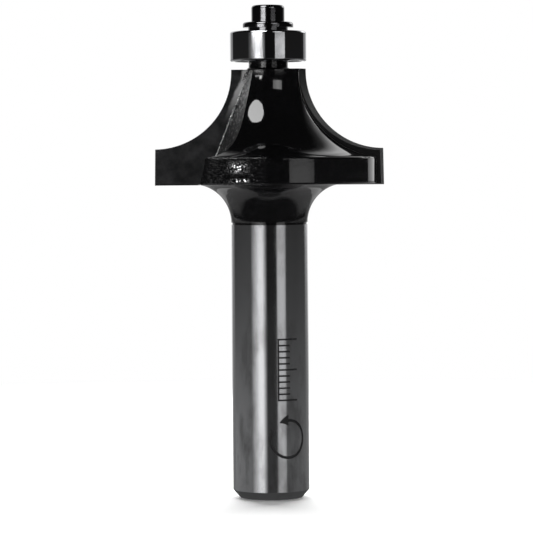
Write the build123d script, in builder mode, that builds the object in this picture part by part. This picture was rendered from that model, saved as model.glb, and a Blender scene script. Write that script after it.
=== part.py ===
from build123d import *
from math import cos, radians, sin, sqrt, tan
import os

# Two-flute rounding-over router bit with a ball-bearing guide, standing on the end of its shank.
# Millimetres, +Z up along the spin axis, origin at the centre of the shank's end face.
# It cuts counter-clockwise as seen from the bearing end (+Z).

# --- shank -------------------------------------------------------------------
shank_diameter = 12.7
shank_length = 45.38  # bright ground length, up to the coated head
shank_chamfer_width = 1.2
shank_chamfer_height = 1.38
coat_groove_depth = 0.16  # shallow turned line where the coating starts
coat_groove_width = 0.35

# --- head blank ----------------------------------------------------------------
neck_fillet_radius = 6.35
ring_diameter = 36.0
ring_thickness = 4.4
ring_edge_radius = 0.35
waist_diameter = 12.04  # head just under its top face
waist_height = 0.98  # straight part between the concave flank and the top face
pilot_neck_diameter = 6.5
pilot_neck_height = 1.46
pilot_foot_radius = 0.4

# --- cutting profile -----------------------------------------------------------
cut_radius = 12.7  # round put on the wood's edge
tip_edge_length = 6.0  # straight outer edge below the arc
tip_top_land = 0.45  # straight edge above the arc
tip_rise = 0.2  # tips stand this far above the head's top face
tip_overhang = 0.17  # tips reach this far below the ring
tip_thickness = 1.8
tip_clearance = 0.35  # relief lost over the thickness of a tip
edge_lean = 0.1  # outer edge is this much nearer the axis at its top
rake_offset = 1.5  # rake face stands this far behind the spin axis
braze_gap = 0.1
braze_edge_gap = 0.16

# --- gullets ---------------------------------------------------------------------
flute_count = 2
root_inset = 3.15  # inner end of a tip from the spin axis plane, at the head's top face
root_lean = 21.5  # degrees between the gullet's root line and the spin axis
pocket_front = 2.5  # pocket is milled clear this far in front of the rake face
gullet_end_radius = 0.55  # small end of the tapered cutter
gullet_taper = 27.6  # degrees, half angle of the tapered cutter
gullet_reach = 9.52  # small end from the spin axis, across the tips
gullet_front = 9.22  # small end in front of the spin axis
gullet_depth = 31.92  # small end below the head's top face
gullet_lean_out = 16.3  # degrees, top of the cutter leans outwards
gullet_lean_back = 8.2  # degrees, top of the cutter leans towards the tip

# --- guide bearing ---------------------------------------------------------------
bearing_bore = 4.7625
bearing_diameter = 12.7
bearing_width = 4.978
bearing_edge_radius = 0.35
bore_chamfer = 0.17
ball_diameter = 2.381
ball_count = 7
ball_play = 0.02  # between a ball and each race
race_conformity = 1.05  # groove radius over ball radius
inner_ring_wall = 1.02  # at the lands beside the ball groove
outer_ring_wall = 1.0
shield_thickness = 0.25
shield_inset = 0.18  # shields lie this far inside the bearing's faces
shield_seat_depth = 0.25  # how far the shield's rim goes into the outer ring
shield_inner_gap = 0.15
bore_fit = 0.015
seat_fit = 0.01
cage_width = 0.84  # radial
cage_height = 1.9
cage_offset = 0.42  # crown cage sits towards one side of the balls
cage_pocket_gap = 0.07

# --- screw and washers -----------------------------------------------------------
spacer_diameter = 6.6
spacer_thickness = 0.62
washer_diameter = 8.4
washer_thickness = 0.9
washer_edge_radius = 0.4  # punched side, which is the upper one
screw_diameter = 3.0
screw_length = 10.0
head_diameter = 5.5
head_height = 2.8
head_edge_radius = 0.5
socket_across_flats = 2.5
socket_depth = 1.5
thread_clearance = 0.02
hole_spare_depth = 0.9
drill_point_angle = 118.0
pilot_stub_setback = 0.2  # stub ends this far below the bearing's upper face

# --- heights worked out from the sizes above -----------------------------------------
shank_radius = shank_diameter / 2
neck_start = shank_length + coat_groove_width
ring_bottom = neck_start + neck_fillet_radius
ring_top = ring_bottom + ring_thickness
tip_bottom = ring_bottom - tip_overhang
arc_centre_z = tip_bottom + tip_edge_length + cut_radius
tip_top = arc_centre_z + tip_top_land
pilot_radius = bearing_diameter / 2
cutter_radius = pilot_radius + cut_radius
ring_radius = ring_diameter / 2
waist_radius = waist_diameter / 2
head_top = tip_top - tip_rise
flank_centre_z = head_top - waist_height
flank_height = flank_centre_z - ring_top
flank_width = ring_radius - waist_radius
flank_radius = (flank_width**2 + flank_height**2) / (2 * flank_width)  # upright at the waist
flank_centre_r = waist_radius + flank_radius
bearing_bottom = head_top + pilot_neck_height
bearing_middle = bearing_bottom + bearing_width / 2
bearing_top = bearing_bottom + bearing_width
stub_top = bearing_top - pilot_stub_setback
screw_hole_radius = screw_diameter / 2 + thread_clearance
washer_bottom = bearing_top + spacer_thickness
washer_top = washer_bottom + washer_thickness
inner_land_diameter = bearing_bore + 2 * inner_ring_wall
outer_land_diameter = bearing_diameter - 2 * outer_ring_wall
pocket_reach = cutter_radius + pilot_radius  # pockets are milled out past the ring
gullet_span = gullet_depth + cutter_radius  # tapered cutter reaches up past the head
seat_plane = rake_offset + tip_thickness + braze_gap
root_slope = tan(radians(root_lean))

os.makedirs("parts", exist_ok=True)


def root_x(height):
    """Distance of a gullet's root line from the spin axis plane, at a height."""
    return root_inset + (head_top - height) * root_slope


def pocket_sketch(depth, shift, low, high):
    """Leaning pocket at a depth behind the spin axis plane, its inner wall moved out by shift."""
    with BuildSketch(Plane.XZ.offset(-depth)) as sketch:
        Polygon(
            (-root_x(high) - shift, high),
            (-pocket_reach, high),
            (-pocket_reach, low),
            (-root_x(low) - shift, low),
            align=None,
        )
    return sketch.sketch


def tip_sketch(depth, clearance):
    """Section of a tip at a depth behind the spin axis plane, its cutting profile let in by clearance."""

    def across(radius):
        return -sqrt((radius - clearance) ** 2 - depth**2)

    half_turn = radians(45)
    relieved_radius = cut_radius + clearance
    low = tip_bottom + clearance / 2
    inner_low = (-root_x(low) - braze_edge_gap, low)
    inner_high = (-root_x(tip_top) - braze_edge_gap, tip_top)
    pilot_high = (across(pilot_radius), tip_top)
    arc_high = (across(pilot_radius), arc_centre_z)
    arc_middle = (
        across(cutter_radius - cut_radius * sin(half_turn)),
        arc_centre_z - relieved_radius * cos(half_turn),
    )
    arc_low = (across(cutter_radius - edge_lean), arc_centre_z - relieved_radius)
    edge_low = (across(cutter_radius), low)
    with BuildSketch(Plane.XZ.offset(-depth)) as sketch:
        with BuildLine():
            Polyline(inner_low, inner_high, pilot_high, arc_high)
            ThreePointArc(arc_high, arc_middle, arc_low)
            Polyline(arc_low, edge_low, inner_low)
        make_face()
    return sketch.sketch


# --- head blank: everything that is turned before the gullets are milled -------------------
with BuildPart() as head_blank:
    with BuildSketch(Plane.XZ):
        with BuildLine():
            Polyline(
                (0, 0),
                (shank_radius - shank_chamfer_width, 0),
                (shank_radius, shank_chamfer_height),
                (shank_radius, shank_length),
                (shank_radius - coat_groove_depth, shank_length),
                (shank_radius - coat_groove_depth, neck_start),
                (shank_radius, neck_start),
            )
            RadiusArc(
                (shank_radius, neck_start),
                (shank_radius + neck_fillet_radius, ring_bottom),
                neck_fillet_radius,
            )
            Polyline(
                (shank_radius + neck_fillet_radius, ring_bottom),
                (ring_radius, ring_bottom),
                (ring_radius, ring_top),
            )
            ThreePointArc(
                (ring_radius, ring_top),
                (
                    flank_centre_r - flank_radius * cos(radians(45)),
                    flank_centre_z - flank_radius * sin(radians(45)),
                ),
                (waist_radius, flank_centre_z),
            )
            Polyline((waist_radius, flank_centre_z), (waist_radius, head_top), (0, head_top), (0, 0))
        make_face()
        fillet(vertices().group_by(Axis.X)[-1], radius=ring_edge_radius)
    revolve(axis=Axis.Z)

# --- gullet: a tapered cutter's path, in front of the rake face and clear of the neck ----------
taper_per_mm = tan(radians(gullet_taper))
gullet_axis = (
    -tan(radians(gullet_lean_out)),
    tan(radians(gullet_lean_back)),
    1,
)
gullet_plane = Plane(
    origin=(-gullet_reach, -gullet_front, head_top - gullet_depth),
    x_dir=(1, 0, tan(radians(gullet_lean_out))),
    z_dir=gullet_axis,
)
gullet_wide_radius = gullet_end_radius + taper_per_mm * gullet_span
with BuildPart(gullet_plane) as gullet:
    Cone(
        bottom_radius=gullet_end_radius,
        top_radius=gullet_wide_radius,
        height=gullet_span,
        align=(Align.CENTER, Align.CENTER, Align.MIN),
    )
    split(bisect_by=Plane.XZ.offset(-rake_offset), keep=Keep.TOP)
    split(bisect_by=Plane.XY.offset(head_top), keep=Keep.BOTTOM)
    split(bisect_by=Plane.XY.offset(ring_bottom), keep=Keep.TOP)

# --- pocket: the leaning step that a tip is brazed into, open in front of its rake face ---------
pocket_face = pocket_sketch(seat_plane, 0, tip_bottom, head_top)
with BuildPart() as pocket:
    extrude(pocket_face, amount=seat_plane - rake_offset + pocket_front)

# --- cutter body: shank, neck, ring, relieved cone, pilot neck and stub in one piece of steel ---
with BuildPart() as cutter_body:
    add(head_blank.part)
    with PolarLocations(0, flute_count):
        add(gullet.part, mode=Mode.SUBTRACT)
        add(pocket.part, mode=Mode.SUBTRACT)
    with BuildSketch(Plane.XZ):
        with BuildLine():
            Polyline(
                (0, head_top),
                (pilot_neck_diameter / 2 + pilot_foot_radius, head_top),
            )
            RadiusArc(
                (pilot_neck_diameter / 2 + pilot_foot_radius, head_top),
                (pilot_neck_diameter / 2, head_top + pilot_foot_radius),
                -pilot_foot_radius,
            )
            Polyline(
                (pilot_neck_diameter / 2, head_top + pilot_foot_radius),
                (pilot_neck_diameter / 2, bearing_bottom),
                (bearing_bore / 2 - bore_fit, bearing_bottom),
                (bearing_bore / 2 - bore_fit, stub_top),
                (0, stub_top),
                (0, head_top),
            )
        make_face()
    revolve(axis=Axis.Z)
    hole_depth = stub_top - (washer_top - screw_length) + hole_spare_depth
    point_depth = screw_hole_radius / tan(radians(drill_point_angle / 2))
    with BuildSketch(Plane.XZ):
        Polygon(
            (0, stub_top),
            (screw_hole_radius, stub_top),
            (screw_hole_radius, stub_top - hole_depth),
            (0, stub_top - hole_depth - point_depth),
            align=None,
        )
    revolve(axis=Axis.Z, mode=Mode.SUBTRACT)
cutter_body.part.label = "cutter_body"
export_step(cutter_body.part, "parts/cutter_body.step")

# --- carbide tip: rake face in front, relieved towards its back ----------------------------------
rake_face = tip_sketch(rake_offset, 0)
back_face = tip_sketch(rake_offset + tip_thickness, tip_clearance)
with BuildPart() as carbide_tip:
    loft([rake_face, back_face], ruled=True)

# --- braze: the film behind a tip and along its inner edge --------------------------------------
seam_face = pocket_sketch(seat_plane, 0, tip_bottom + tip_clearance / 2, head_top)
tip_seat_face = pocket_sketch(rake_offset + tip_thickness, braze_edge_gap, tip_bottom, tip_top)
with BuildPart() as braze_seam:
    extrude(seam_face, amount=seat_plane - rake_offset)
    extrude(tip_seat_face, amount=tip_thickness, mode=Mode.SUBTRACT)
    add(head_blank.part, mode=Mode.INTERSECT)

for side, turn in (("left", 0), ("right", 180)):
    with BuildPart() as turned_tip:
        add(carbide_tip.part, rotation=(0, 0, turn))
    turned_tip.part.label = f"carbide_tip_{side}"
    export_step(turned_tip.part, f"parts/carbide_tip_{side}.step")
    with BuildPart() as turned_seam:
        add(braze_seam.part, rotation=(0, 0, turn))
    turned_seam.part.label = f"braze_seam_{side}"
    export_step(turned_seam.part, f"parts/braze_seam_{side}.step")

# --- guide bearing ---------------------------------------------------------------------------------
pitch_radius = (bearing_bore + bearing_diameter) / 4
ball_radius = ball_diameter / 2
groove_radius = ball_radius * race_conformity
groove_shift = groove_radius - ball_radius - ball_play
bearing_plane = Plane.XY.offset(bearing_middle)

with BuildPart() as bearing_outer_ring:
    with BuildSketch(Plane.XZ):
        with Locations(((bearing_diameter + outer_land_diameter) / 4, bearing_middle)):
            Rectangle((bearing_diameter - outer_land_diameter) / 2, bearing_width)
        fillet(vertices().group_by(Axis.X)[-1], radius=bearing_edge_radius)
        with Locations((pitch_radius - groove_shift, bearing_middle)):
            Circle(groove_radius, mode=Mode.SUBTRACT)
        seat_radius = outer_land_diameter / 2 + shield_seat_depth
        seat_height = shield_inset + shield_thickness
        with Locations(
            (seat_radius / 2, bearing_top - seat_height / 2),
            (seat_radius / 2, bearing_bottom + seat_height / 2),
        ):
            Rectangle(seat_radius, seat_height, mode=Mode.SUBTRACT)
    revolve(axis=Axis.Z)
bearing_outer_ring.part.label = "bearing_outer_ring"
export_step(bearing_outer_ring.part, "parts/bearing_outer_ring.step")

with BuildPart() as bearing_inner_ring:
    with BuildSketch(Plane.XZ):
        with Locations(((bearing_bore + inner_land_diameter) / 4, bearing_middle)):
            Rectangle((inner_land_diameter - bearing_bore) / 2, bearing_width)
        chamfer(vertices().group_by(Axis.X)[0], length=bore_chamfer)
        with Locations((pitch_radius + groove_shift, bearing_middle)):
            Circle(groove_radius, mode=Mode.SUBTRACT)
    revolve(axis=Axis.Z)
bearing_inner_ring.part.label = "bearing_inner_ring"
export_step(bearing_inner_ring.part, "parts/bearing_inner_ring.step")

ball_places = PolarLocations(pitch_radius, ball_count).local_locations
for number, place in enumerate(ball_places, start=1):
    with BuildPart(bearing_plane * place) as bearing_ball:
        Sphere(ball_radius)
    bearing_ball.part.label = f"bearing_ball_{number}"
    export_step(bearing_ball.part, f"parts/bearing_ball_{number}.step")

with BuildPart(bearing_plane.offset(-cage_offset)) as ball_cage:
    Cylinder(pitch_radius + cage_width / 2, cage_height)
    Cylinder(pitch_radius - cage_width / 2, cage_height, mode=Mode.SUBTRACT)
    with Locations((0, 0, cage_offset)):
        with PolarLocations(pitch_radius, ball_count):
            Sphere(ball_radius + cage_pocket_gap, mode=Mode.SUBTRACT)
ball_cage.part.label = "ball_cage"
export_step(ball_cage.part, "parts/ball_cage.step")

shield_middle = bearing_width / 2 - shield_inset - shield_thickness / 2
for side, height in (("top", shield_middle), ("bottom", -shield_middle)):
    with BuildPart(bearing_plane.offset(height)) as bearing_shield:
        Cylinder(seat_radius - seat_fit, shield_thickness)
        Cylinder(inner_land_diameter / 2 + shield_inner_gap, shield_thickness, mode=Mode.SUBTRACT)
    bearing_shield.part.label = f"bearing_shield_{side}"
    export_step(bearing_shield.part, f"parts/bearing_shield_{side}.step")

# --- spacer, washer and cap screw that hold the bearing's inner ring ----------------------------------
with BuildPart() as spacer_washer:
    with BuildSketch(Plane.XY.offset(bearing_top)):
        Circle(spacer_diameter / 2)
        Circle(screw_hole_radius, mode=Mode.SUBTRACT)
    extrude(amount=spacer_thickness)
spacer_washer.part.label = "spacer_washer"
export_step(spacer_washer.part, "parts/spacer_washer.step")

with BuildPart() as screw_washer:
    with BuildSketch(Plane.XY.offset(washer_bottom)):
        Circle(washer_diameter / 2)
    extrude(amount=washer_thickness)
    fillet(edges().group_by(Axis.Z)[-1], radius=washer_edge_radius)
    with BuildSketch(Plane.XY.offset(washer_bottom)):
        Circle(screw_hole_radius)
    extrude(amount=washer_thickness, mode=Mode.SUBTRACT)
screw_washer.part.label = "screw_washer"
export_step(screw_washer.part, "parts/screw_washer.step")

with BuildPart() as cap_screw:
    with BuildSketch(Plane.XY.offset(washer_top)):
        Circle(head_diameter / 2)
    extrude(amount=head_height)
    fillet(edges().group_by(Axis.Z)[-1], radius=head_edge_radius)
    with BuildSketch(Plane.XY.offset(washer_top + head_height)):
        RegularPolygon(socket_across_flats / 2, side_count=6, major_radius=False)
    extrude(amount=-socket_depth, mode=Mode.SUBTRACT)
    with BuildSketch(Plane.XY.offset(washer_top)):
        Circle(screw_diameter / 2)
    extrude(amount=-screw_length)
cap_screw.part.label = "cap_screw"
export_step(cap_screw.part, "parts/cap_screw.step")
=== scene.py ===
import math
import random

import bmesh
import bpy
from mathutils import Matrix, Vector


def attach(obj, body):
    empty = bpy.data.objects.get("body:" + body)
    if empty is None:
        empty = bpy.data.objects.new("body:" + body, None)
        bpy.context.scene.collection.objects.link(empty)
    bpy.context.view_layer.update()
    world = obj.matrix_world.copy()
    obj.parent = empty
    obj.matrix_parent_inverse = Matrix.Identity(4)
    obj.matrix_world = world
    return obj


# Rounding-over router bit that stands on its shank in a small white studio.
# Everything is in metres, with +Z up along the bit and the camera on the -Y side.
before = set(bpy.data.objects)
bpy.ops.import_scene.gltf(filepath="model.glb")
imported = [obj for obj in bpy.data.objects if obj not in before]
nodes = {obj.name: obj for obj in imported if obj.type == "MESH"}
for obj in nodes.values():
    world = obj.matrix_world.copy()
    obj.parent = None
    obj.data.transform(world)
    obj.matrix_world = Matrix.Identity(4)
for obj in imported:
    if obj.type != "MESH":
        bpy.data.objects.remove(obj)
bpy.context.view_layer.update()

MM = 0.001

# Heights and radii of the cutter, as the CAD model has them.
SHANK_RADIUS = 6.35 * MM
SHANK_TOP = 45.38 * MM
RING_BOTTOM = 52.08 * MM
RING_TOP = 56.48 * MM
RING_RADIUS = 18.0 * MM
HEAD_TOP = 70.86 * MM

# Each tip's rake face lies this far from the spin axis.
RAKE_OFFSET = 1.5 * MM

# A gullet's root line leans: its x at the head's top, and how much x grows per height downwards.
ROOT_INSET = 3.15 * MM
ROOT_SLOPE = math.tan(math.radians(21.5))


# ------------------------------------------------------------------------------ node helpers
class Graph:
    """A node tree with short ways to add nodes and join them."""

    def __init__(self, tree):
        self.tree = tree

    def node(self, kind, inputs=None, **settings):
        """Adds a node; inputs are sockets or plain values by name or index."""
        made = self.tree.nodes.new(kind)
        for name, value in settings.items():
            setattr(made, name, value)
        for name, value in (inputs or {}).items():
            self.put(made.inputs[name], value)
        return made

    def put(self, socket, value):
        """Links a socket to another one, or sets its own value."""
        if isinstance(value, bpy.types.NodeSocket):
            self.tree.links.new(value, socket)
        else:
            socket.default_value = value

    def shade(self, values):
        """Links or sets inputs of the principled shader by name."""
        shader = self.tree.nodes["Principled BSDF"]
        for name, value in values.items():
            self.put(shader.inputs[name], value)

    def math(self, operation, first, second=0.0):
        """One calculation on sockets or plain numbers."""
        return self.node("ShaderNodeMath", {0: first, 1: second}, operation=operation).outputs[0]

    def vector(self, operation, inputs):
        """One vector calculation, with its inputs by name or index."""
        return self.node("ShaderNodeVectorMath", inputs, operation=operation).outputs[0]

    def blend(self, factor, low, high):
        """low where factor is 0, high where it is 1; colours or plain numbers."""
        if isinstance(low, tuple):
            made = self.node("ShaderNodeMix", data_type="RGBA")
            self.put(made.inputs[0], factor)
            self.put(made.inputs[6], (*low, 1.0))
            self.put(made.inputs[7], (*high, 1.0))
            return made.outputs[2]
        made = self.node("ShaderNodeMapRange", {"Value": factor, "To Min": low, "To Max": high})
        return made.outputs[0]

    def step(self, value, low, high):
        """0 at low, 1 at high, smooth between them and level beyond."""
        made = self.node(
            "ShaderNodeMapRange",
            {"Value": value, "From Min": low, "From Max": high},
            interpolation_type="SMOOTHSTEP",
        )
        return made.outputs[0]

    def window(self, value, centre, half_width, softness):
        """1 near centre, falling to 0 over softness beyond half_width."""
        distance = self.math("ABSOLUTE", self.math("SUBTRACT", value, centre))
        return self.step(distance, half_width + softness, half_width)

    def place(self):
        """The place in the object's own space, which is the frame's."""
        return self.node("ShaderNodeTexCoord").outputs["Object"]

    def apart(self, vector):
        """A vector's three parts."""
        return self.node("ShaderNodeSeparateXYZ", {0: vector}).outputs

    def noise(self, vector, scale, detail=3.0, roughness=0.5):
        """Fractal noise about 0.5, with scale lumps to each unit of the vector."""
        made = self.node(
            "ShaderNodeTexNoise",
            {"Vector": vector, "Scale": scale, "Detail": detail, "Roughness": roughness},
        )
        return made.outputs[0]

    def grain(self, vector, scales, detail=3.0, roughness=0.5):
        """Noise with a scale of its own along each axis."""
        stretched = self.vector("MULTIPLY", {0: vector, 1: scales})
        return self.noise(stretched, 1.0, detail, roughness)

    def around(self, vector):
        """(angle about Z, distance from Z, height) of a place."""
        x, y, z = self.apart(vector)
        angle = self.math("ARCTAN2", y, x)
        squares = self.math("ADD", self.math("MULTIPLY", x, x), self.math("MULTIPLY", y, y))
        return angle, self.math("SQRT", squares), z

    def bump(self, height, strength, depth, normal=None):
        """A normal that stands for relief of the given depth in metres."""
        inputs = {"Height": height, "Strength": strength, "Distance": depth}
        if normal is not None:
            inputs["Normal"] = normal
        return self.node("ShaderNodeBump", inputs).outputs[0]


def material(name):
    """A new material with a principled shader, and its graph."""
    made = bpy.data.materials.new(name)
    made.use_nodes = True
    return made, Graph(made.node_tree)


def turned_lines(graph, place, across, along):
    """Fine lines that run round the Z axis, as grinding and turning leave them."""
    angle, radius, height = graph.around(place)
    drawn = graph.node(
        "ShaderNodeCombineXYZ",
        {
            0: graph.math("MULTIPLY", angle, along),
            1: graph.math("MULTIPLY", height, across),
            2: radius,
        },
    )
    return graph.noise(drawn.outputs[0], scale=1.0, detail=4.0, roughness=0.6)


# ------------------------------------------------------------------------------ materials
def ground_steel():
    """Centreless-ground shank: reflections blurred one way by the grinding, and faint stains."""
    made, graph = material("ground_steel")
    place = graph.place()
    lines = turned_lines(graph, place, across=9000.0, along=6.0)
    grain = graph.noise(place, scale=3800.0, detail=2.0)
    stains = graph.grain(place, scales=(420.0, 420.0, 147.0), detail=5.0, roughness=0.6)
    worn = graph.step(stains, 0.42, 0.72)
    tangent = graph.node("ShaderNodeTangent", direction_type="RADIAL", axis="Z")
    fine = graph.bump(grain, strength=0.3, depth=0.004 * MM)
    graph.shade({
        "Base Color": graph.blend(worn, (0.64, 0.645, 0.66), (0.56, 0.56, 0.57)),
        "Metallic": 1.0,
        "Roughness": graph.blend(worn, 0.13, 0.2),
        "Anisotropic": 0.55,
        "Anisotropic Rotation": 0.25,
        "Tangent": tangent.outputs[0],
        "Normal": graph.bump(lines, strength=0.15, depth=0.004 * MM, normal=fine),
    })
    return made


def bearing_steel():
    """Polished bearing rings with faint smears and turning lines."""
    made, graph = material("bearing_steel")
    place = graph.place()
    lines = turned_lines(graph, place, across=14000.0, along=4.0)
    smears = graph.noise(place, scale=900.0, detail=4.0)
    graph.shade({
        "Base Color": graph.blend(smears, (0.66, 0.665, 0.68), (0.58, 0.585, 0.6)),
        "Metallic": 1.0,
        "Roughness": graph.blend(smears, 0.03, 0.07),
        "Normal": graph.bump(lines, strength=0.1, depth=0.003 * MM),
    })
    return made


# The coating's refractive index gives the deep shine of baked enamel.
COATING_IOR = 1.75

# The rough spot on the ring's rim: its angles are about Z, from +X, so -90 degrees faces the camera.
SPOT_ANGLE = math.radians(-106.0)
SPOT_BAND_CENTRE = math.radians(-107.5)
SPOT_BAND_HALF = math.radians(14.5)
SPOT_UPPER_HEIGHT = 54.9 * MM
SPOT_LOWER_ANGLE = math.radians(-105.0)
SPOT_LOWER_HEIGHT = 52.8 * MM
SPOT_GRAIN_SCALE = 6400.0
SPOT_GRAIN_TILT = 0.35


def rough_spot(graph, place):
    """Where the coating is bare, and its normal tilted grain by grain, on the ring's rough spot."""
    angle, radius, height = graph.around(place)
    on_rim = graph.step(radius, RING_RADIUS - 0.5 * MM, RING_RADIUS - 0.2 * MM)
    band = graph.window(angle, SPOT_BAND_CENTRE, SPOT_BAND_HALF, softness=math.radians(2.0))
    spot = graph.math("MULTIPLY", on_rim, band)
    upper = graph.math(
        "MULTIPLY",
        graph.window(angle, SPOT_ANGLE, math.radians(1.0), softness=math.radians(6.0)),
        graph.window(height, SPOT_UPPER_HEIGHT, 0.2 * MM, softness=1.1 * MM),
    )
    lower = graph.math(
        "MULTIPLY",
        graph.window(angle, SPOT_LOWER_ANGLE, math.radians(3.5), softness=math.radians(2.0)),
        graph.window(height, SPOT_LOWER_HEIGHT, 0.15 * MM, softness=0.25 * MM),
    )
    centre = graph.math("MULTIPLY", spot, graph.math("MAXIMUM", upper, lower))

    cells = graph.node("ShaderNodeTexVoronoi", {"Vector": place, "Scale": SPOT_GRAIN_SCALE})
    grains = cells.outputs["Color"]
    one_grain = graph.apart(grains)[0]
    bare = graph.math("MULTIPLY", centre, graph.step(one_grain, 0.4, 0.45))
    near = graph.window(angle, SPOT_ANGLE, math.radians(3.0), softness=math.radians(7.0))
    stray = graph.math("MULTIPLY", near, graph.step(one_grain, 0.9, 0.91))
    raised = graph.math("MAXIMUM", bare, stray)

    # Bare and stray grains lean up towards the lamps, the others down to the dark table.
    widest = 2 * SPOT_GRAIN_TILT
    jitter = graph.vector(
        "MULTIPLY_ADD",
        {0: grains, 1: (widest, widest, widest), 2: (-SPOT_GRAIN_TILT,) * 3},
    )
    lift = graph.node("ShaderNodeCombineXYZ", {2: graph.blend(raised, -0.4, 0.42)})
    tilt = graph.vector("ADD", {0: jitter, 1: lift.outputs[0]})
    tilt = graph.vector("SCALE", {0: tilt, "Scale": spot})
    outward = graph.node("ShaderNodeNewGeometry").outputs["Normal"]
    turned = graph.vector("NORMALIZE", {0: graph.vector("ADD", {0: outward, 1: tilt})})
    return bare, turned


def black_coating():
    """Glossy baked coating with slight orange peel, and one rough, sparkling spot on the ring."""
    made, graph = material("black_coating")
    place = graph.place()
    bare, turned = rough_spot(graph, place)
    peel = graph.noise(place, scale=1500.0, detail=2.0)
    dust = graph.noise(place, scale=5200.0, detail=3.0, roughness=0.7)
    graph.shade({
        "IOR": COATING_IOR,
        "Base Color": graph.blend(bare, (0.005, 0.005, 0.0055), (0.55, 0.55, 0.56)),
        "Metallic": bare,
        "Roughness": graph.blend(dust, 0.035, 0.07),
        "Normal": graph.bump(peel, strength=0.25, depth=0.01 * MM, normal=turned),
    })
    return made


def milled_coating():
    """The coating on the rough-milled gullet walls: duller, mottled pale, and paler towards the top.
    """
    made, graph = material("milled_coating")
    place = graph.place()
    height = graph.apart(place)[2]
    coarse = graph.noise(place, scale=1700.0, detail=5.0, roughness=0.75)
    pits = graph.noise(place, scale=3400.0, detail=3.0)
    upward = graph.step(height, RING_TOP + 1.0 * MM, HEAD_TOP - 2.0 * MM)
    paleness = graph.math("ADD", coarse, graph.math("MULTIPLY", upward, 0.13))
    pale = graph.step(paleness, 0.55, 0.72)
    graph.shade({
        "IOR": COATING_IOR,
        "Base Color": graph.blend(pale, (0.016, 0.016, 0.017), (0.6, 0.6, 0.605)),
        "Roughness": graph.blend(coarse, 0.22, 0.45),
        "Normal": graph.bump(pits, strength=1.0, depth=0.08 * MM),
    })
    return made


def carbide():
    """Ground tungsten carbide: dark grey clouds, grinding lines, and a pale, less metallic patch
    beside the seam near the top.
    """
    made, graph = material("carbide")
    place = graph.place()
    parts = graph.apart(place)
    drop = graph.math("MULTIPLY", graph.math("SUBTRACT", HEAD_TOP, parts[2]), ROOT_SLOPE)
    inset = graph.math("SUBTRACT", graph.math("ABSOLUTE", parts[0]), ROOT_INSET)
    from_seam = graph.math("SUBTRACT", inset, drop)
    clouds = graph.noise(place, scale=420.0, detail=6.0, roughness=0.7)
    drift = graph.math("MULTIPLY", graph.math("SUBTRACT", clouds, 0.5), 1.2 * MM)
    wandering = graph.math("ADD", from_seam, drift)
    by_seam = graph.window(wandering, 0.45 * MM, 0.3 * MM, softness=0.5 * MM)
    near_top = graph.step(parts[2], HEAD_TOP - 9.0 * MM, HEAD_TOP - 2.0 * MM)
    pale_patch = graph.math("MULTIPLY", by_seam, near_top)
    lines = graph.grain(place, scales=(9000.0, 9000.0, 500.0))
    grey = graph.blend(graph.step(clouds, 0.3, 0.75), (0.055, 0.056, 0.058), (0.12, 0.12, 0.124))
    pale = (0.8, 0.8, 0.8, 1.0)
    colour = graph.node("ShaderNodeMix", {0: pale_patch, 6: grey, 7: pale}, data_type="RGBA")
    graph.shade({
        "Base Color": colour.outputs[2],
        "Metallic": graph.blend(pale_patch, 1.0, 0.1),
        "Roughness": graph.blend(clouds, 0.34, 0.5),
        "Normal": graph.bump(lines, strength=0.2, depth=0.006 * MM),
    })
    return made


def relief_carbide_painted_shade():
    """The relieved back and edges of a tip: matte, with lines from the grinding wheel, and near-black
    as painted shade.
    """
    made, graph = material("relief_carbide_painted_shade")
    lines = graph.grain(graph.place(), scales=(900.0, 900.0, 7000.0))
    graph.shade({
        # The near-black colour and low IOR are painted shade on the tip's back and edges.
        "Base Color": graph.blend(lines, (0.004, 0.004, 0.005), (0.014, 0.014, 0.015)),
        "IOR": 1.3,
        "Roughness": graph.blend(lines, 0.42, 0.56),
        "Normal": graph.bump(lines, strength=0.2, depth=0.006 * MM),
    })
    return made


def braze():
    """Silver braze metal, partly blackened by flux, and frosted with dark gaps where it is heaped."""
    made, graph = material("braze")
    place = graph.place()
    height = graph.apart(place)[2]
    frosted = graph.step(height, HEAD_TOP - 2.4 * MM, HEAD_TOP - 1.6 * MM)
    flux = graph.noise(place, scale=1900.0, detail=4.0, roughness=0.65)
    lumps = graph.noise(place, scale=4200.0, detail=2.0)
    gaps = graph.step(graph.noise(place, scale=6200.0, detail=2.0), 0.47, 0.53)
    gaps_in_heap = graph.math("MULTIPLY", frosted, gaps)
    black = graph.math("MAXIMUM", graph.step(flux, 0.58, 0.64), gaps_in_heap)
    graph.shade({
        "Base Color": graph.blend(black, (0.93, 0.93, 0.92), (0.03, 0.03, 0.03)),
        "Metallic": graph.blend(black, graph.blend(frosted, 0.9, 0.3), 0.1),
        "Roughness": graph.blend(flux, 0.2, 0.4),
        "Normal": graph.bump(lumps, strength=1.0, depth=0.2 * MM),
    })
    return made


def black_oxide():
    """Oiled black oxide on the screw and washers."""
    made, graph = material("black_oxide")
    place = graph.place()
    lines = turned_lines(graph, place, across=6000.0, along=5.0)
    film = graph.noise(place, scale=1200.0, detail=4.0)
    graph.shade({
        "Base Color": graph.blend(film, (0.24, 0.24, 0.25), (0.17, 0.17, 0.175)),
        "Metallic": 1.0,
        "Roughness": graph.blend(film, 0.05, 0.12),
        "Normal": graph.bump(lines, strength=0.12, depth=0.004 * MM),
    })
    return made


def sheet_steel(name, base):
    """Pressed steel sheet of the shields and the cage, rolled a little darker in streaks."""
    made, graph = material(name)
    rolled = graph.grain(graph.place(), scales=(600.0, 5000.0, 600.0))
    darker = tuple(0.85 * part for part in base)
    graph.shade({
        "Base Color": graph.blend(rolled, base, darker),
        "Metallic": 1.0,
        "Roughness": graph.blend(rolled, 0.2, 0.34),
        "Normal": graph.bump(rolled, strength=0.15, depth=0.004 * MM),
    })
    return made


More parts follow.
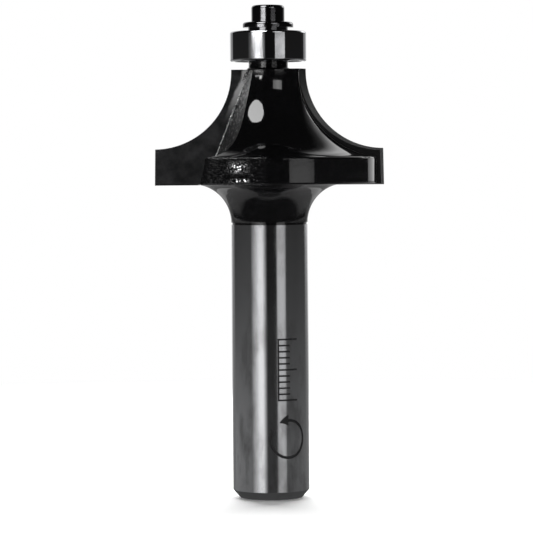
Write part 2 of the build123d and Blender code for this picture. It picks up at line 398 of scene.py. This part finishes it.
def ball_steel():
    """Polished balls with a trace of haze."""
    made, graph = material("ball_steel")
    haze = graph.noise(graph.place(), scale=2500.0, detail=3.0)
    graph.shade({
        "Base Color": graph.blend(haze, (0.74, 0.745, 0.76), (0.66, 0.665, 0.68)),
        "Metallic": 1.0,
        "Roughness": graph.blend(haze, 0.03, 0.07),
    })
    return made


def etched():
    """Laser-blackened mark on the steel."""
    made, graph = material("etched_mark")
    char = graph.noise(graph.place(), scale=9000.0, detail=3.0)
    graph.shade({
        "Base Color": graph.blend(char, (0.008, 0.008, 0.009), (0.03, 0.03, 0.032)),
        "Roughness": graph.blend(char, 0.4, 0.65),
    })
    return made


# ------------------------------------------------------------------------------ dressed CAD nodes
CREASE = math.radians(25.0)

# How near a face counts as lying in a plane, and as lying on a gullet's root line.
PLANE_GAP = 0.01 * MM
ROOT_GAP = 0.03 * MM

# The least sine of the angle between a cut wall and the revolved surface.
LEAST_TURN = 0.2


def dress(node, *materials):
    """Gives a CAD node its materials, in the order of their indexes."""
    mesh = nodes[node].data
    mesh.materials.clear()
    for each in materials:
        mesh.materials.append(each)


def root_x(height):
    """Distance of a gullet's root line from the plane x = 0, at a height."""
    return ROOT_INSET + (HEAD_TOP - height) * ROOT_SLOPE


def in_gullet(centre, normal):
    """True on the walls that the gullet and pocket cutters left in front of the rake planes."""
    if not RING_BOTTOM - 0.2 * MM < centre.z < HEAD_TOP + 0.1 * MM:
        return False
    if abs(abs(centre.x) - root_x(centre.z)) < ROOT_GAP:
        return True
    front = -centre.y if centre.x < 0 else centre.y
    outward = Vector((centre.x, centre.y, 0.0)).normalized()
    turned = abs(outward.x * normal.y - outward.y * normal.x)
    past_rake = front > -RAKE_OFFSET - PLANE_GAP
    return past_rake and abs(centre.x) > 0.8 * ROOT_INSET and turned > LEAST_TURN


def smooth_patches(mesh):
    """Groups of face indexes that join without a crease."""
    build = bmesh.new()
    build.from_mesh(mesh)
    build.faces.ensure_lookup_table()
    waiting = set(range(len(build.faces)))
    found = []
    while waiting:
        queue = [waiting.pop()]
        patch = []
        while queue:
            face = build.faces[queue.pop()]
            patch.append(face.index)
            for edge in face.edges:
                if len(edge.link_faces) == 2 and edge.calc_face_angle(math.pi) < CREASE:
                    for other in edge.link_faces:
                        if other.index in waiting:
                            waiting.remove(other.index)
                            queue.append(other.index)
        found.append(patch)
    build.free()
    return found


def dress_body():
    """Coats the head, leaves the shank bare, and gives whole gullet walls the milled coating."""
    coated, bare, milled = range(3)
    dress("cutter_body", black_coating(), ground_steel(), milled_coating())
    body = nodes["cutter_body"].data
    for patch in smooth_patches(body):
        faces = [body.polygons[index] for index in patch]
        area = sum(face.area for face in faces)
        milled_area = sum(face.area for face in faces if in_gullet(face.center, face.normal))
        finish = milled if milled_area > 0.5 * area else coated
        for face in faces:
            on_shank_part = face.center.z < SHANK_TOP + PLANE_GAP
            face.material_index = bare if on_shank_part else finish


def dress_tip(node, rake, relief):
    """Gives a tip's flat rake face one material and its other faces another."""
    dress(node, rake, relief)
    for face in nodes[node].data.polygons:
        in_plane = abs(abs(face.center.y) - RAKE_OFFSET) < 2 * PLANE_GAP
        on_rake = in_plane and abs(face.normal.y) > 0.9
        face.material_index = 0 if on_rake else 1


dress_body()
tip_rake = carbide()
tip_relief = relief_carbide_painted_shade()
seam_braze = braze()
for side in ("left", "right"):
    dress_tip(f"carbide_tip_{side}", tip_rake, tip_relief)
    dress(f"braze_seam_{side}", seam_braze)

screw_oxide = black_oxide()
for node_name in ("cap_screw", "screw_washer", "spacer_washer"):
    dress(node_name, screw_oxide)

ring_steel = bearing_steel()
for node_name in ("bearing_inner_ring", "bearing_outer_ring"):
    dress(node_name, ring_steel)

shield_steel = sheet_steel("shield_steel", (0.52, 0.52, 0.53))
for node_name in ("bearing_shield_top", "bearing_shield_bottom"):
    dress(node_name, shield_steel)
dress("ball_cage", sheet_steel("cage_steel", (0.48, 0.47, 0.45)))

BALL_COUNT = 7
polished = ball_steel()
for number in range(1, BALL_COUNT + 1):
    dress(f"bearing_ball_{number}", polished)


# ------------------------------------------------------------------------------ added pieces
def add_object(name, data):
    """A new object, linked into the scene."""
    made = bpy.data.objects.new(name, data)
    bpy.context.scene.collection.objects.link(made)
    return made


def finished_mesh(name, build):
    """The mesh of a bmesh, which is freed."""
    data = bpy.data.meshes.new(name)
    build.to_mesh(data)
    build.free()
    return data


def piece(name, data, made_of):
    """A smooth piece of its own that rides on the cutter."""
    made = add_object(name, data)
    data.materials.append(made_of)
    for face in data.polygons:
        face.use_smooth = True
    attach(made, "cutter")


BEAD_STEP = 0.2 * MM
BEAD_RADIUS = 0.085 * MM
BEAD_SEED = 7

# The string of beads is swollen in its middle and heaped, three beads side by side, at its top.
SWOLLEN_LOW = 62.2 * MM
SWOLLEN_HIGH = 66.1 * MM
SWOLLEN_SIZE = 1.6
HEAP_DEPTH = 1.7 * MM
HEAP_BEADS = 3

# A few drops are spilled on the pilot neck; angles are about Z, from +X.
NECK_DROPS = 8
NECK_DROP_RADIUS = 3.17 * MM
NECK_DROP_REACH = 1.3 * MM
NECK_DROP_ANGLES = (196.0, 208.0)


def add_bead(build, centre, sizes):
    """One drop of braze, an ellipsoid that is partly buried in what it lies on."""
    shape = Matrix.Translation(centre) @ Matrix.Diagonal((*sizes, 1.0))
    bmesh.ops.create_icosphere(build, subdivisions=2, radius=1.0, matrix=shape)


def braze_bead(turn):
    """The uneven string of braze that stands out along a tip's inner edge, turned about Z."""
    chance = random.Random(BEAD_SEED)
    build = bmesh.new()
    low = RING_TOP + 0.3 * MM
    high = HEAD_TOP - 0.15 * MM
    count = int((high - low) / BEAD_STEP)
    for step in range(count + 1):
        z = low + (high - low) * step / count
        heaped = z > HEAD_TOP - HEAP_DEPTH
        swollen = SWOLLEN_SIZE if heaped or SWOLLEN_LOW < z < SWOLLEN_HIGH else 1.0
        for bead in range(HEAP_BEADS if heaped else 1):
            size = BEAD_RADIUS * swollen * chance.uniform(0.6, 1.25)
            if heaped:
                shift = chance.uniform(-0.45, 0.05) * MM
            else:
                shift = swollen * chance.uniform(-0.1, 0.04) * MM
            centre = Vector((-root_x(z) - 0.08 * MM + shift, RAKE_OFFSET, z))
            add_bead(build, centre, (size, 0.8 * size, 1.4 * size))
    for drop in range(NECK_DROPS):
        angle = math.radians(chance.uniform(*NECK_DROP_ANGLES))
        x = NECK_DROP_RADIUS * math.cos(angle)
        y = NECK_DROP_RADIUS * math.sin(angle)
        z = HEAD_TOP + NECK_DROP_REACH * (drop + 0.5) / NECK_DROPS
        size = BEAD_RADIUS * chance.uniform(0.9, 1.8)
        add_bead(build, Vector((x, y, z)), (size, size, 1.2 * size))
    build.transform(Matrix.Rotation(turn, 4, "Z"))
    return finished_mesh("braze_bead", build)


piece("braze_bead_left", braze_bead(0.0), seam_braze)
piece("braze_bead_right", braze_bead(math.pi), seam_braze)

# The etched marks are thin skins, lifted just clear of the shank.
MARK_RADIUS = SHANK_RADIUS + 0.006 * MM

TICK_COUNT = 11
TICK_START = 16.6 * MM
TICK_PITCH = 1.0 * MM
TICK_HALF_THICKNESS = 0.14 * MM
TICK_BASE = math.radians(13.0)
TICK_LONG = math.radians(30.0)
TICK_SHORT = math.radians(17.0)
SPINE_WIDTH = math.radians(2.4)

ARROW_ANGLE = math.radians(27.0)
ARROW_HEIGHT = 10.2 * MM
ARROW_OUTER = 3.3 * MM
ARROW_INNER = 2.85 * MM
ARROW_START = math.radians(150.0)
ARROW_SWEEP = math.radians(300.0)
ARROW_HEAD_SWEEP = math.radians(30.0)
ARROW_HEAD_HALF_WIDTH = 0.95 * MM


def on_shank(angle, height):
    """A place on the shank; angle 0 faces the camera and grows to the right."""
    return Vector((MARK_RADIUS * math.sin(angle), -MARK_RADIUS * math.cos(angle), height))


def ribbon(build, pairs):
    """A strip of quads through pairs of places; the strip runs to the left of each pair."""
    rungs = [(build.verts.new(first), build.verts.new(second)) for first, second in pairs]
    for (a, b), (c, d) in zip(rungs, rungs[1:]):
        build.faces.new((a, b, d, c))


def mark(build, low_angle, high_angle, low, high, parts=6):
    """A filled rectangle that follows the shank."""
    pairs = []
    for step in range(parts + 1):
        angle = low_angle + (high_angle - low_angle) * step / parts
        pairs.append((on_shank(angle, high), on_shank(angle, low)))
    ribbon(build, pairs)


def etched_scale():
    """A plain scale of ticks on a spine, every fifth tick longer."""
    build = bmesh.new()
    for count in range(TICK_COUNT):
        reach = TICK_LONG if count % 5 == 0 else TICK_SHORT
        height = TICK_START + count * TICK_PITCH
        low = height - TICK_HALF_THICKNESS
        high = height + TICK_HALF_THICKNESS
        mark(build, TICK_BASE, TICK_BASE + reach, low, high)
    spine_low = TICK_START - TICK_HALF_THICKNESS
    spine_high = TICK_START + (TICK_COUNT - 1) * TICK_PITCH + TICK_HALF_THICKNESS
    mark(build, TICK_BASE - SPINE_WIDTH, TICK_BASE, spine_low, spine_high)
    return finished_mesh("etched_scale", build)


def on_arrow(radius, turn):
    """A place on the shank at a radius and a turn about the arrow's middle."""
    angle = ARROW_ANGLE + radius * math.cos(turn) / SHANK_RADIUS
    return on_shank(angle, ARROW_HEIGHT + radius * math.sin(turn))


def etched_arrow():
    """A plain ring with a gap and an arrow head, for the way the bit turns."""
    build = bmesh.new()
    parts = 48
    pairs = []
    for step in range(parts + 1):
        turn = ARROW_START + ARROW_SWEEP * step / parts
        pairs.append((on_arrow(ARROW_INNER, turn), on_arrow(ARROW_OUTER, turn)))
    ribbon(build, pairs)

    parts = 12
    pairs = []
    middle = (ARROW_OUTER + ARROW_INNER) / 2
    for step in range(parts + 1):
        turn = ARROW_START + ARROW_SWEEP + ARROW_HEAD_SWEEP * step / parts
        reach = ARROW_HEAD_HALF_WIDTH * (1 - 0.97 * step / parts)
        pairs.append((on_arrow(middle - reach, turn), on_arrow(middle + reach, turn)))
    ribbon(build, pairs)
    return finished_mesh("etched_arrow", build)


laser_black = etched()
piece("etched_scale", etched_scale(), laser_black)
piece("etched_arrow", etched_arrow(), laser_black)


# ------------------------------------------------------------------------------ studio
# The room and its lit cards are parts of domes about one point. They show only in reflections,
# which makes the white and black bands on the metal. Angles in this section are in degrees.
STUDIO_CENTRE = Vector((0.0, 0.0, 0.05))
DOME_RADIUS = 3.0
CARD_DISTANCE = 2.6
DOME_STEP = 5.0


def towards(azimuth, elevation):
    """A direction; azimuth 0 is on the camera's side and grows to the right."""
    turn = math.radians(azimuth)
    rise = math.radians(elevation)
    level = math.cos(rise)
    return Vector((math.sin(turn) * level, -math.cos(turn) * level, math.sin(rise)))


def even(level):
    """The same radiance at every elevation."""
    return ((-90.0, level), (90.0, level))


def empty_graph(owner):
    """The cleared graph of a new material or world."""
    owner.use_nodes = True
    owner.node_tree.nodes.clear()
    return Graph(owner.node_tree)


def ramp_of(graph, share, levels):
    """A ramp over elevation, from pairs of elevation and radiance up to 1."""
    ramp = graph.node("ShaderNodeValToRGB", {"Fac": share})
    stops = ramp.color_ramp.elements
    stops.remove(stops[1])
    for number, (elevation, radiance) in enumerate(levels):
        position = elevation / 180 + 0.5
        stop = stops[0] if number == 0 else stops.new(position)
        stop.position = position
        stop.color = (radiance, radiance, radiance, 1.0)
    return ramp.outputs[0]


def glow(name, columns, strength, distance=CARD_DISTANCE):
    """Light of a card, from (azimuth, levels) columns that blend into one another."""
    made = bpy.data.materials.new(name)
    graph = empty_graph(made)
    x, y, z = graph.apart(graph.place())
    rise = graph.math("DIVIDE", graph.math("SUBTRACT", z, STUDIO_CENTRE.z), distance)
    turn_up = graph.math("DIVIDE", graph.math("ARCSINE", rise), math.pi)
    share = graph.math("ADD", turn_up, 0.5)
    turn = graph.math("ARCTAN2", x, graph.math("MULTIPLY", y, -1.0))
    colour = ramp_of(graph, share, columns[0][1])
    for (before, _), (azimuth, levels) in zip(columns, columns[1:]):
        reached = graph.node(
            "ShaderNodeMapRange",
            {
                "Value": turn,
                "From Min": math.radians(before),
                "From Max": math.radians(azimuth),
            },
        )
        following = ramp_of(graph, share, levels)
        inputs = {0: reached.outputs[0], 6: colour, 7: following}
        colour = graph.node("ShaderNodeMix", inputs, data_type="RGBA").outputs[2]
    light = graph.node("ShaderNodeEmission", {"Color": colour, "Strength": strength})
    graph.node("ShaderNodeOutputMaterial", {0: light.outputs[0]})
    return made


def reflected_card(name, build, paint):
    """A studio card that shows only in reflections."""
    data = finished_mesh(name, build)
    data.materials.append(paint)
    made = add_object(name, data)
    made.visible_camera = False
    made.visible_diffuse = False
    made.visible_shadow = False


def dome_patch(azimuths, elevations, distance):
    """A mesh patch of a dome between two azimuths and two elevations."""
    build = bmesh.new()
    across = max(1, round((azimuths[1] - azimuths[0]) / DOME_STEP))
    up = max(1, round((elevations[1] - elevations[0]) / DOME_STEP))
    grid = []
    for row in range(up + 1):
        elevation = elevations[0] + (elevations[1] - elevations[0]) * row / up
        line = []
        for column in range(across + 1):
            azimuth = azimuths[0] + (azimuths[1] - azimuths[0]) * column / across
            place = STUDIO_CENTRE + distance * towards(azimuth, elevation)
            line.append(build.verts.new(place))
        grid.append(line)
    for lower, upper in zip(grid, grid[1:]):
        for a, b, c, d in zip(lower, lower[1:], upper[1:], upper):
            build.faces.new((a, b, c, d))
    return build


# The room at each azimuth: pairs of elevation and radiance. These rows are shared
# by several azimuths: floor and table, walls at the horizon, the white screen, and the ceiling.
BELOW_NEAR = ((-90.0, 0.22), (-80.0, 0.2), (-70.0, 0.02))
BELOW_SIDE = (
    (-90.0, 0.22), (-72.0, 0.24), (-55.0, 0.3), (-24.0, 0.26), (-12.0, 0.04), (-8.8, 0.04),
)
BELOW_BACK = ((-90.0, 0.22), (-72.0, 0.24), (-50.0, 0.28), (-15.0, 0.2))
LEFT_WALL = (
    (-7.8, 0.34), (-6.6, 0.31), (-5.5, 0.18), (-3.4, 0.07), (-1.6, 0.045), (0.0, 0.03),
)
RIGHT_WALL = (
    (-7.8, 0.21), (-6.6, 0.19), (-5.5, 0.12), (-3.4, 0.06), (-1.6, 0.04), (0.0, 0.02),
)
WHITE_SCREEN = ((-7.0, 0.35), (-5.3, 0.42), (-4.0, 0.55), (-2.6, 0.8), (-1.4, 1.0))
DARK_CEILING = ((5.0, 0.008), (90.0, 0.008))

FRONT = BELOW_NEAR + (
    (-8.6, 0.02), (-7.6, 0.12), (-7.0, 0.12), (-6.3, 0.08), (-5.2, 0.02), (-3.4, 0.009),
    (0.0, 0.007), (90.0, 0.007),
)
LEFT_NEAR = BELOW_NEAR + ((-8.8, 0.03),) + LEFT_WALL + DARK_CEILING
LEFT_FAR = BELOW_SIDE + LEFT_WALL + DARK_CEILING
RIGHT_NEAR = BELOW_NEAR + (
    (-8.8, 0.03), (-7.8, 0.21), (-6.6, 0.19), (-5.5, 0.11), (-3.4, 0.055), (-1.6, 0.035),
    (0.0, 0.02), (5.0, 0.008), (90.0, 0.008),
)
RIGHT_FAR = BELOW_SIDE + RIGHT_WALL + DARK_CEILING
RIGHT_EDGE = BELOW_SIDE + RIGHT_WALL + (
    (4.0, 0.02), (7.0, 0.3), (30.0, 0.3), (42.0, 0.05), (50.0, 0.008), (90.0, 0.008),
)
BACK_EDGE = BELOW_BACK + (
    (-5.3, 0.18), (-4.0, 0.2), (-2.6, 0.28), (-1.4, 0.34), (2.8, 0.34), (6.0, 0.6),
    (30.0, 0.6), (40.0, 0.1), (48.0, 0.008), (90.0, 0.008),
)
BACK = BELOW_BACK + WHITE_SCREEN + (
    (26.0, 1.0), (32.0, 0.6), (38.0, 0.1), (44.0, 0.008), (90.0, 0.008),
)
BACK_MIDDLE = BELOW_BACK + WHITE_SCREEN + (
    (8.0, 1.0), (17.0, 0.6), (22.0, 0.05), (25.0, 0.008), (90.0, 0.008),
)
ROOM = (
    (-180.0, BACK_MIDDLE),
    (-177.0, BACK_MIDDLE),
    (-171.0, BACK),
    (-160.0, BACK),
    (-150.0, BACK_EDGE),
    (-138.0, BACK_EDGE),
    (-131.0, LEFT_FAR),
    (-105.0, LEFT_FAR),
    (-85.0, LEFT_NEAR),
    (-30.0, LEFT_NEAR),
    (-15.0, FRONT),
    (15.0, FRONT),
    (30.0, RIGHT_NEAR),
    (85.0, RIGHT_NEAR),
    (105.0, RIGHT_FAR),
    (112.0, RIGHT_FAR),
    (130.0, RIGHT_EDGE),
    (138.0, BACK_EDGE),
    (150.0, BACK_EDGE),
    (160.0, BACK),
    (171.0, BACK),
    (177.0, BACK_MIDDLE),
    (180.0, BACK_MIDDLE),
)
reflected_card(
    "room",
    dome_patch((-180.0, 180.0), (-90.0, 90.0), DOME_RADIUS),
    glow("room", ROOM, 1.0, DOME_RADIUS),
)

# Lit cards in front of the room: name, elevations, radiance, and its share at each azimuth.
CARDS = (
    (
        "strip_left", (-9.0, -1.2), 1.3,
        (
            (-57.0, 0.2), (-50.0, 0.42), (-40.0, 0.68), (-33.0, 1.0), (-22.0, 1.0),
            (-17.0, 0.55), (-9.0, 0.02),
        ),
    ),
    (
        "strip_right", (-9.0, 0.3), 0.68,
        ((21.0, 0.8), (26.0, 1.0), (40.0, 1.0), (48.0, 0.7)),
    ),
    (
        "strip_right_edge", (-0.7, 1.5), 2.2,
        ((129.0, 0.3), (160.0, 1.0)),
    ),
    (
        "strip_left_high", (2.25, 3.0), 0.72,
        ((-62.0, 0.05), (-52.0, 0.35), (-40.0, 0.8), (-32.0, 1.0), (-20.0, 1.0), (-9.0, 0.1)),
    ),
    (
        "strip_right_high", (2.25, 2.98), 1.02,
        ((20.5, 0.85), (51.0, 1.0)),
    ),
    (
        "lamp_left_high", (3.04, 3.7), 6.5,
        ((-51.0, 0.3), (-44.0, 1.0), (-22.0, 1.0), (-17.0, 0.4)),
    ),
    (
        "lamp_neck_upper", (2.15, 2.22), 9.0,
        ((-43.0, 0.6), (-38.0, 1.0), (-25.0, 0.8)),
    ),
    (
        "lamp_neck_lower", (2.06, 2.15), 9.0,
        ((-39.0, 0.7), (-32.0, 1.0), (-15.0, 0.8)),
    ),
    (
        "lamp_right_high", (3.04, 3.7), 0.05,
        ((24.0, 1.0), (53.0, 1.0)),
    ),
    (
        "lamp_left_bar", (5.1, 5.9), 9.0,
        ((-42.0, 0.8), (-18.0, 1.0)),
    ),
    (
        "lamp_left_stem", (5.9, 7.2), 9.0,
        ((-28.0, 1.0), (-20.0, 0.6)),
    ),
    (
        "lamp_right_low", (8.2, 20.0), 2.2,
        ((15.0, 0.6), (30.0, 1.0), (43.0, 0.7)),
    ),
    (
        "flank_light", (8.0, 27.0), 2.4,
        ((122.0, 0.0), (131.0, 0.7), (150.0, 1.0)),
    ),
    (
        "strip_back_left", (-36.0, -13.0), 0.6,
        ((-168.0, 1.0), (-150.0, 1.0)),
    ),
    (
        "strip_back_right", (-36.0, -13.0), 0.6,
        ((150.0, 1.0), (168.0, 1.0)),
    ),
)
for card_name, elevations, radiance, shares in CARDS:
    card_span = (shares[0][0], shares[-1][0])
    card_columns = tuple((azimuth, even(share)) for azimuth, share in shares)
    reflected_card(
        card_name,
        dome_patch(card_span, elevations, CARD_DISTANCE),
        glow(card_name, card_columns, radiance),
    )


def disc_card(name, radius, matrix, radiance):
    """A round card of even radiance."""
    build = bmesh.new()
    bmesh.ops.create_circle(build, cap_ends=True, segments=48, radius=radius, matrix=matrix)
    reflected_card(name, build, glow(name, ((0.0, even(1.0)),), radiance))


# A round softbox, high on the left, that faces the bit.
SOFTBOX_HALF_ANGLE = 16.4
softbox_direction = towards(-42.0, 50.0)
softbox_turn = softbox_direction.to_track_quat("Z", "Y").to_matrix().to_4x4()
disc_card(
    "softbox_left",
    CARD_DISTANCE * math.tan(math.radians(SOFTBOX_HALF_ANGLE)),
    Matrix.Translation(STUDIO_CENTRE + CARD_DISTANCE * softbox_direction) @ softbox_turn,
    5.8,
)

# A dark disc that stands for the shaded table next to the foot, as the shank's lower bevel reflects
# it: painted shade, seen only in reflections.
disc_card("foot_shade", 12.0 * MM, Matrix.Translation((0.0, 0.0, 0.05 * MM)), 0.07)

# Half the table's width, and where it ends behind the bit, in front of the lamp there.
TABLE_SIDE = 8.0
TABLE_BACK = 0.6

# To the camera, the table turns into plain white background between these distances from the bit.
WHITE_FROM = 0.1
WHITE_AT = 0.25


def table_top():
    """A plain white table, hidden in reflections. To the camera it is brighter than paint."""
    data = bpy.data.meshes.new("table_top")
    corners = [
        (-TABLE_SIDE, -TABLE_SIDE, 0.0),
        (TABLE_SIDE, -TABLE_SIDE, 0.0),
        (TABLE_SIDE, TABLE_BACK, 0.0),
        (-TABLE_SIDE, TABLE_BACK, 0.0),
    ]
    data.from_pydata(corners, [], [(0, 1, 2, 3)])
    made = add_object("table_top", data)
    paint = bpy.data.materials.new("table_white")
    graph = empty_graph(paint)
    seen = graph.node("ShaderNodeLightPath").outputs["Is Camera Ray"]
    white = graph.blend(seen, (0.9, 0.9, 0.9), (1.25, 1.25, 1.25))
    matte = graph.node("ShaderNodeBsdfDiffuse", {"Color": white})
    radius = graph.around(graph.place())[1]
    beyond = graph.math("MULTIPLY", seen, graph.step(radius, WHITE_FROM, WHITE_AT))
    backdrop = graph.node("ShaderNodeEmission", {"Color": (1.0, 1.0, 1.0, 1.0), "Strength": 1.0})
    surface = {0: beyond, 1: matte.outputs[0], 2: backdrop.outputs[0]}
    mixed = graph.node("ShaderNodeMixShader", surface)
    graph.node("ShaderNodeOutputMaterial", {0: mixed.outputs[0]})
    data.materials.append(paint)
    made.visible_glossy = False


def white_world():
    """White to the camera, in reflections and through glass; dimmer as light on matte surfaces."""
    made = bpy.data.worlds.new("studio")
    bpy.context.scene.world = made
    graph = empty_graph(made)
    path = graph.node("ShaderNodeLightPath").outputs
    seen = graph.math("MAXIMUM", path["Is Camera Ray"], path["Is Glossy Ray"])
    seen = graph.math("MAXIMUM", seen, path["Is Transmission Ray"])
    strength = graph.blend(seen, 0.3, 1.0)
    sky = graph.node("ShaderNodeBackground", {"Color": (1.0, 1.0, 1.0, 1.0), "Strength": strength})
    graph.node("ShaderNodeOutputWorld", {0: sky.outputs[0]})


def softbox(name, place, target, width, height, watts):
    """An area lamp turned to a target; the cards stand for it in reflections."""
    lamp = bpy.data.lights.new(name, "AREA")
    lamp.shape = "RECTANGLE"
    lamp.size = width
    lamp.size_y = height
    lamp.energy = watts
    made = add_object(name, lamp)
    made.location = place
    made.rotation_euler = (Vector(target) - Vector(place)).to_track_quat("-Z", "Y").to_euler()
    made.visible_camera = False
    made.visible_glossy = False


table_top()
white_world()
softbox(
    "lit_backdrop",
    place=(0.0, 0.9, 0.42),
    target=(0.0, 0.0, 0.0),
    width=1.3,
    height=0.7,
    watts=30.0,
)

# ------------------------------------------------------------------------------ camera
CAMERA_DISTANCE = 0.48
EYE_HEIGHT = 57.3 * MM
FRAME_CENTRE_HEIGHT = 38.38 * MM
SIDE_STEP = -0.54 * MM
PICTURE_SIDE = 533.0
PIXELS_PER_MM = 6.03
SENSOR_WIDTH = 36.0
LEAN = 0.0075  # the photograph is turned by this small angle, in radians


def add_camera():
    """The camera, level with the head and turned a little down to the picture's centre."""
    data = bpy.data.cameras.new("camera")
    data.sensor_width = SENSOR_WIDTH
    data.lens = PIXELS_PER_MM / MM * CAMERA_DISTANCE / PICTURE_SIDE * SENSOR_WIDTH
    data.clip_start = 0.01
    data.clip_end = 20.0
    made = add_object("camera", data)
    bpy.context.scene.camera = made
    eye = Vector((SIDE_STEP, -CAMERA_DISTANCE, EYE_HEIGHT))
    target = Vector((SIDE_STEP, 0.0, FRAME_CENTRE_HEIGHT))
    ahead = (target - eye).normalized()
    upright = Vector((math.sin(LEAN), 0.0, math.cos(LEAN)))
    right = ahead.cross(upright).normalized()
    up = right.cross(ahead)
    made.matrix_world = Matrix(
        (
            (right.x, up.x, -ahead.x, eye.x),
            (right.y, up.y, -ahead.y, eye.y),
            (right.z, up.z, -ahead.z, eye.z),
            (0.0, 0.0, 0.0, 1.0),
        )
    )


add_camera()
bpy.context.scene.view_settings.view_transform = "Standard"
